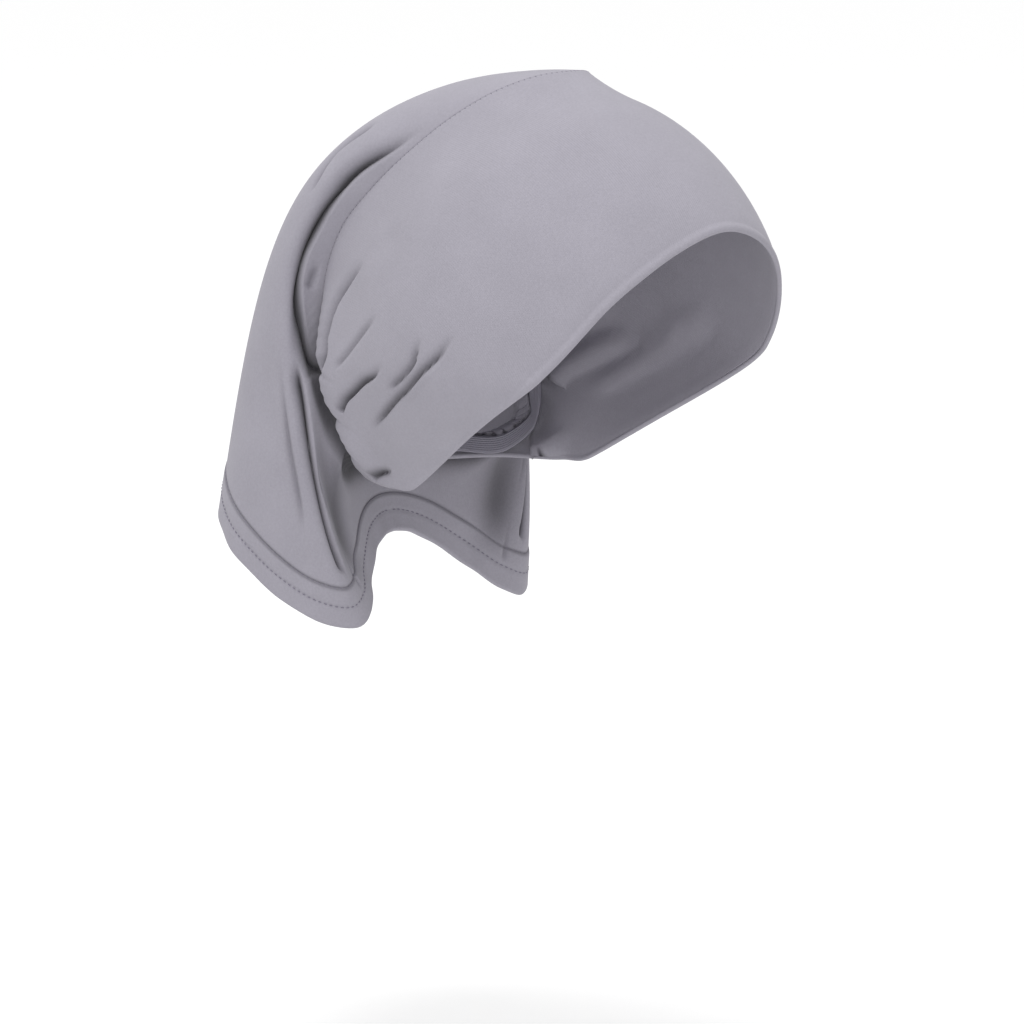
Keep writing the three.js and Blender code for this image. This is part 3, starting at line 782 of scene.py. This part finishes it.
def node(tree, kind, inputs=(), **settings):
    """Adds a shader node with its settings, and fills or links its inputs."""
    made = tree.nodes.new(kind)
    for name, value in settings.items():
        setattr(made, name, value)
    for socket, value in dict(inputs).items():
        if isinstance(value, bpy.types.NodeSocket):
            tree.links.new(value, made.inputs[socket])
        else:
            made.inputs[socket].default_value = value
    return made


def math_node(tree, operation, *values):
    """Adds a sum in a shader, and gives its result."""
    return node(tree, "ShaderNodeMath", enumerate(values), operation=operation).outputs[0]


def map_node(tree, value, start, end, low, high):
    """Adds a map from one span of values to another, and gives its result."""
    return node(tree, "ShaderNodeMapRange", {
        "Value": value, "From Min": start, "From Max": end, "To Min": low, "To Max": high,
    }).outputs[0]


def cover(material, inputs):
    """Ends a material in one shader with these inputs."""
    tree = material.node_tree
    shader = node(tree, "ShaderNodeBsdfPrincipled", inputs)
    node(tree, "ShaderNodeOutputMaterial", {"Surface": shader.outputs[0]})
    return material


def noise(tree, scale, detail, roughness=0.5):
    place = node(tree, "ShaderNodeTexCoord").outputs["Object"]
    return node(tree, "ShaderNodeTexNoise",
                {"Vector": place, "Scale": scale, "Detail": detail, "Roughness": roughness})


def new_material(name):
    material = bpy.data.materials.get(name)
    if material:
        return material, None
    material = bpy.data.materials.new(name)
    material.use_nodes = True
    material.node_tree.nodes.clear()
    return material, material.node_tree


def viscose_jersey():
    """Dyed viscose jersey: fine columns of V-shaped stitches, matt, a soft bloom of fibre, painted
    shade in creases.
    """
    material, tree = new_material("viscose jersey")
    if tree is None:
        return material
    cloth = node(tree, "ShaderNodeUVMap", uv_map="cloth")
    parts = node(tree, "ShaderNodeSeparateXYZ", {0: cloth.outputs[0]})
    wale = math_node(tree, "MULTIPLY", parts.outputs[0], 1 / look().wale_pitch)
    course = math_node(tree, "MULTIPLY", parts.outputs[1], 1 / look().course_pitch)
    leg = math_node(tree, "PINGPONG", wale, 0.5)
    slant = math_node(tree, "MULTIPLY_ADD", leg, LEG_SLANT, course)
    loops = math_node(tree, "SINE", math_node(tree, "MULTIPLY", slant, 2 * math.pi))
    rib = math_node(tree, "MULTIPLY_ADD", leg, 2, 0)
    knit = math_node(tree, "MULTIPLY_ADD", loops, LOOP_SHARE, rib)
    fuzz = noise(tree, 1100, 3, 0.6)
    bumped = node(tree, "ShaderNodeBump",
                  {"Height": knit, "Strength": 0.25, "Distance": 0.00012})
    hairy = node(tree, "ShaderNodeBump",
                 {"Height": fuzz.outputs["Fac"], "Strength": 0.2, "Distance": 0.0003,
                  "Normal": bumped.outputs[0]})
    dye = noise(tree, 45, 5, 0.55)
    tone = map_node(tree, dye.outputs["Fac"], 0.3, 0.7, 0.965, 1.035)
    speck = map_node(tree, fuzz.outputs["Fac"], 0.3, 0.7, 0.95, 1.05)
    # Painted shade: the crease attribute darkens the jersey's colour in creases and hollows
    crease = node(tree, "ShaderNodeAttribute", attribute_name="crease")
    painted_shade = map_node(tree, crease.outputs["Fac"], 0, 1, 1, PAINTED_CREASE_TONE)
    both = math_node(tree, "MULTIPLY", math_node(tree, "MULTIPLY", tone, speck), painted_shade)
    shade = node(tree, "ShaderNodeVectorMath",
                 {0: tuple(look().jersey), "Scale": both}, operation="SCALE")
    return cover(material, {
        "Base Color": shade.outputs[0], "Roughness": 0.93, "IOR": 1.46,
        "Specular IOR Level": 0.25, "Sheen Weight": 0.12, "Sheen Roughness": 0.6,
        "Normal": hairy.outputs[0],
    })


def woven_elastic():
    """Woven elastic: rubber cords under a polyester cover, which ribs it along its length."""
    material, tree = new_material("woven polyester elastic")
    if tree is None:
        return material
    cloth = node(tree, "ShaderNodeUVMap", uv_map="cloth")
    parts = node(tree, "ShaderNodeSeparateXYZ", {0: cloth.outputs[0]})
    rib, pick = 2 * math.pi / look().rib_pitch, 2 * math.pi / look().pick_pitch
    cord = math_node(tree, "SINE", math_node(tree, "MULTIPLY", parts.outputs[1], rib))
    thread = math_node(tree, "SINE", math_node(tree, "MULTIPLY", parts.outputs[0], pick))
    both = math_node(tree, "MULTIPLY_ADD", thread, THREAD_SHARE, cord)
    bump = node(tree, "ShaderNodeBump",
                {"Height": both, "Strength": 0.5, "Distance": 0.0002})
    return cover(material, {
        "Base Color": (*look().elastic, 1), "Roughness": 0.8, "Normal": bump.outputs[0],
    })


def spun_polyester():
    """Spun polyester thread, dyed to match, in a darker colour that paints the shade of its
    dimples.
    """
    material, tree = new_material("spun polyester thread")
    if tree is None:
        return material
    twist = noise(tree, 2500, 2)
    bump = node(tree, "ShaderNodeBump",
                {"Height": twist.outputs["Fac"], "Strength": 0.4, "Distance": 0.0001})
    return cover(material, {
        "Base Color": (*look().thread, 1), "Roughness": 0.7, "Normal": bump.outputs[0],
    })


def studio_paper():
    """Matt pale paper sweep with no visible grain."""
    material, tree = new_material("matt studio paper")
    if tree is None:
        return material
    return cover(material, {
        "Base Color": (*look().floor, 1), "Roughness": 0.95, "Specular IOR Level": 0.1,
    })


class CAP_OT_front_panel(bpy.types.Operator):
    """Front panel: two plies of jersey folded at the brim and gathered at the nape"""

    bl_idname = "cap.front_panel"
    bl_label = "Front panel"

    def execute(self, context):
        s = sizes()
        rows = sewn_cloth(panel_surface, stations(*PANEL_ROWS), s.panel_wall, -1, FOLDED)
        piece = cloth_mesh("front_panel_cloth", rows)
        dress(piece, viscose_jersey(), "front_jersey", "front_panel")
        return {"FINISHED"}


class CAP_OT_tail(bpy.types.Operator):
    """Tail: one ply of jersey that slouches from the crown seam to its hem"""

    bl_idname = "cap.tail"
    bl_label = "Tail"

    def execute(self, context):
        s = sizes()

        def surface(lap, part, blunt):
            fall = fall_from_edge(lap, s.hem_width + s.seam_gap) * part
            points = tail_surface(lap, fall, blunt)
            from_hem = np.linalg.norm(points[..., :3] - points[-1, :, :3], axis=-1)
            return hem_crease(points, from_hem, tail_normal(lap, fall))

        rows = sewn_cloth(surface, stations(*TAIL_ROWS), s.tail_wall, 0, CUT)
        piece = cloth_mesh("tail_cloth", rows)
        dress(piece, viscose_jersey(), "tail_jersey", "tail")
        return {"FINISHED"}


class CAP_OT_tail_hem(bpy.types.Operator):
    """Hem: the tail's free edge turned inside and sewn down"""

    bl_idname = "cap.tail_hem"
    bl_label = "Tail hem"

    def execute(self, context):
        s = sizes()
        proud = (s.hem_wall - s.tail_wall) / 2

        def surface(lap, part, blunt):
            fall = fall_from_edge(lap, s.hem_width * (1 - part))
            wave = s.hem_wave * part * np.sin(2 * math.pi * lap * HEM_WAVES)
            from_row = (part - SECOND_ROW) * s.hem_width
            sewn = s.crease_depth * np.exp(-(from_row / s.crease_width)**2)
            points = tail_surface(lap, fall)
            normal = tail_normal(lap, fall)
            points[..., :3] += normal * (proud + wave - sewn)[..., None]
            return hem_crease(points, part * s.hem_width, normal)

        outer = grid_surface(surface, crowded(HEM_ROWS, HEM_CROWD))
        rows = closed_cloth(outer, grid_normals(outer), s.hem_wall, TURNED, FOLDED)
        piece = cloth_mesh("tail_hem_cloth", rows)
        dress(piece, viscose_jersey(), "hem_jersey", "tail_hem")
        return {"FINISHED"}


class CAP_OT_nape_elastic(bpy.types.Operator):
    """Nape elastic: a flat woven band along the low part of the seam"""

    bl_idname = "cap.nape_elastic"
    bl_label = "Nape elastic"

    def execute(self, context):
        s = sizes()
        turn = np.linspace(-1, 1, ELASTIC_COLUMNS)
        laps = 1 - np.abs(turn) * (1 - s.elastic_start)
        seam = seam_point(laps)
        span = smooth_panel(laps, np.zeros_like(laps))[2]
        near = smooth_panel(laps, 1 - s.elastic_width / span)[0]
        across = unit(near - seam)
        along = unit(seam_point(laps - NUDGE) - seam_point(laps + NUDGE))
        inwards = unit(np.cross(across, along))
        outer = seam + inwards * (s.panel_wall + s.elastic_gap)
        widths = np.linspace(0, s.elastic_width, ELASTIC_ROWS)
        top = [outer + across * width for width in widths]
        rows = np.array(top + [p + inwards * s.elastic_wall for p in top[::-1]] + [top[0]])
        rows[..., 0] *= side_of(turn)
        piece = cloth_mesh("nape_elastic_band", rows)
        dress(piece, woven_elastic(), "elastic", "nape_elastic")
        return {"FINISHED"}


class CAP_OT_seam_allowance(bpy.types.Operator):
    """Seam allowance: the sewn edges of both cloths, turned towards the tail inside"""

    bl_idname = "cap.seam_allowance"
    bl_label = "Crown seam allowance"

    def execute(self, context):
        s = sizes()

        def surface(lap, part, blunt):
            start = smooth_tail(lap, np.zeros_like(lap))
            reach = 3 * np.linalg.norm(tail_loop(SHOULDER, lap) - start, axis=-1)
            share_down = ALLOWANCE_START + (1 - ALLOWANCE_START) * part
            return tail_surface(lap, s.allowance * share_down / reach, blunt)

        outer = grid_surface(surface, np.linspace(0, 1, ALLOWANCE_ROWS), INNER_BLUNT)
        normals = grid_normals(outer)
        outer[..., :3] -= normals * (s.tail_wall + s.seam_gap)
        rows = closed_cloth(outer, normals, s.allowance_wall, CUT, CUT)
        rows[..., 3] = 0
        piece = cloth_mesh("crown_seam_allowance", rows)
        dress(piece, viscose_jersey(), "tail_jersey")
        return {"FINISHED"}


def thread_stitches(name, places, runs, ups, sides, size):
    """One small rounded stitch at each place, lying along its run."""
    bm = bmesh.new()
    for vectors in (places, runs, ups):
        vectors[:, 0] *= sides
    for place, run, up in zip(places, runs, ups):
        side = unit(np.cross(up, run))
        turn = Matrix((run, side, np.cross(run, side))).transposed().to_4x4()
        scale = Matrix.Diagonal((*size, 1))
        bmesh.ops.create_uvsphere(
            bm, u_segments=8, v_segments=5, radius=0.5,
            matrix=Matrix.Translation(Vector(place)) @ turn @ scale,
        )
    return finish_piece(name, bm)


def even_laps(path, pitch):
    """Laps from one nape end round to the other that stand a pitch apart on a path."""
    turn = np.linspace(-1, 1, TURN_POINTS)
    points = path(np.abs(turn))
    points[:, 0] *= side_of(turn)
    run = np.concatenate([[0], np.cumsum(np.linalg.norm(np.diff(points, axis=0), axis=1))])
    count = int(run[-1] / pitch)
    turns = np.interp(np.linspace(0, run[-1], count + 1)[1:-1], run, turn)
    return np.abs(turns), side_of(turns)


class CAP_OT_crown_stitches(bpy.types.Operator):
    """Crown seam: the thread that shows between the two cloths"""

    bl_idname = "cap.crown_stitches"
    bl_label = "Crown seam stitches"

    def execute(self, context):
        s = sizes()
        laps, sides = even_laps(seam_point, s.stitch_pitch)
        ups = seam_normal(laps)
        runs = seam_past(laps)
        places = seam_point(laps) + runs * s.seam_gap / 2 - ups * s.thread_width * SUNK_THREAD
        size = (s.stitch_length, s.thread_width, s.thread_width)
        piece = thread_stitches("crown_seam_stitches", places, runs, ups, sides, size)
        dress(piece, spun_polyester(), "front_jersey")
        return {"FINISHED"}


class CAP_OT_hem_stitches(bpy.types.Operator):
    """Hem stitches: two rows of twin-needle stitching round the hem"""

    bl_idname = "cap.hem_stitches"
    bl_label = "Hem stitches"

    def execute(self, context):
        s = sizes()
        proud = (s.hem_wall - s.tail_wall) / 2
        rows = []
        first = (s.hem_width + s.seam_gap / 2, 0)
        for from_edge, stand in (first, (s.hem_width * SECOND_ROW, proud)):
            def path(lap):
                fall = fall_from_edge(lap, from_edge)
                return tail_surface(lap, fall)[..., :3] + tail_normal(lap, fall) * stand

            laps, sides = even_laps(path, s.stitch_pitch)
            ups = tail_normal(laps, fall_from_edge(laps, from_edge))
            runs = unit(path(laps + NUDGE / 2) - path(laps - NUDGE / 2))
            rows.append((path(laps), runs, ups, sides))
        size = (s.stitch_pitch * HEM_STITCH, s.thread_width, s.thread_width * FLAT_THREAD)
        columns = (np.concatenate(column) for column in zip(*rows))
        piece = thread_stitches("hem_stitches", *columns, size)
        dress(piece, spun_polyester(), "hem_jersey")
        return {"FINISHED"}


class CAP_OT_cut_sizes(bpy.types.Operator):
    """Cut sizes: an empty step that gives nothing of what each cloth measured before it was sewn
    """

    bl_idname = "cap.cut_sizes"
    bl_label = "Cut sizes"

    def execute(self, context):
        return {"FINISHED"}


class CAP_OT_studio(bpy.types.Operator):
    """Studio: a pale floor, soft lights and the camera"""

    bl_idname = "cap.studio"
    bl_label = "Studio"

    def execute(self, context):
        scene = context.scene
        bm = bmesh.new()
        bmesh.ops.create_grid(bm, x_segments=8, y_segments=8, size=FLOOR_SIZE)
        bmesh.ops.translate(bm, verts=bm.verts, vec=(0, 0, FLOOR_LEVEL))
        floor = finish_piece("studio_floor", bm)
        floor.data.materials.append(studio_paper())
        floor.visible_diffuse = False

        world = scene.world or bpy.data.worlds.new("studio")
        scene.world = world
        world.use_nodes = True
        world.node_tree.nodes.clear()
        tree = world.node_tree
        place = node(tree, "ShaderNodeTexCoord")
        height = node(tree, "ShaderNodeSeparateXYZ", {0: place.outputs["Generated"]})
        low = map_node(tree, height.outputs[2], *SKY)
        above = math_node(tree, "MAXIMUM", height.outputs[2], 0)
        both = math_node(tree, "MULTIPLY_ADD", above, SKY_ABOVE, low)
        sky = node(tree, "ShaderNodeBackground", {"Color": (1, 1, 1, 1), "Strength": both})
        node(tree, "ShaderNodeOutputWorld", {"Surface": sky.outputs[0]})
        scene.view_settings.view_transform = "Standard"

        for name, place, size, power in LAMPS:
            lamp = bpy.data.lights.new(name, "AREA")
            lamp.shape = "DISK"
            lamp.size = size
            lamp.energy = power
            light = bpy.data.objects.new(name, lamp)
            light.location = place
            aim = Vector(LAMP_AIM) - light.location
            light.rotation_euler = aim.to_track_quat("-Z", "Y").to_euler()
            scene.collection.objects.link(light)

        azimuth, elevation = math.radians(AZIMUTH), math.radians(ELEVATION)
        right = Vector((math.cos(azimuth), math.sin(azimuth), 0))
        back = Vector((math.sin(azimuth) * math.cos(elevation),
                       -math.cos(azimuth) * math.cos(elevation), math.sin(elevation)))
        up = back.cross(right)
        pixel = 0.001 / PIXELS_PER_MM
        across, down = (PICTURE / 2 - at for at in CROWN_PIXEL)
        crown = Vector((0, 0, sizes().panel_wall))
        target = crown + right * across * pixel - up * down * pixel
        data = bpy.data.cameras.new("camera")
        data.sensor_width = SENSOR
        data.lens = SENSOR * DISTANCE / (PICTURE * pixel)
        camera = bpy.data.objects.new("camera", data)
        camera.matrix_world = Matrix.Translation(target + back * DISTANCE) @ Matrix(
            (right, up, back)).transposed().to_4x4()
        scene.collection.objects.link(camera)
        scene.camera = camera
        return {"FINISHED"}


OPERATORS = (
    CAP_OT_front_panel,
    CAP_OT_tail,
    CAP_OT_tail_hem,
    CAP_OT_nape_elastic,
    CAP_OT_seam_allowance,
    CAP_OT_crown_stitches,
    CAP_OT_hem_stitches,
    CAP_OT_cut_sizes,
    CAP_OT_studio,
)


class CAP_PT_pieces(bpy.types.Panel):
    """Sidebar panel that lists the cap's pieces and its sizes"""

    bl_idname = "CAP_PT_pieces"
    bl_label = "Underscarf cap"
    bl_space_type = "VIEW_3D"
    bl_region_type = "UI"
    bl_category = "Cap"

    def draw(self, context):
        for operator in OPERATORS:
            self.layout.operator(operator.bl_idname)
        for group in (context.scene.cap_sizes, context.scene.cap_look):
            box = self.layout.box()
            for name in group.__annotations__:
                box.prop(group, name)


CLASSES = (CapSizes, CapLook, *OPERATORS, CAP_PT_pieces)


def register():
    for made in CLASSES:
        bpy.utils.register_class(made)
    bpy.types.Scene.cap_sizes = bpy.props.PointerProperty(type=CapSizes)
    bpy.types.Scene.cap_look = bpy.props.PointerProperty(type=CapLook)


def unregister():
    del bpy.types.Scene.cap_look
    del bpy.types.Scene.cap_sizes
    for made in reversed(CLASSES):
        bpy.utils.unregister_class(made)


def main():
    register()
    for operator in OPERATORS:
        group, name = operator.bl_idname.split(".")
        getattr(getattr(bpy.ops, group), name)()


if __name__ == "__main__":
    main()
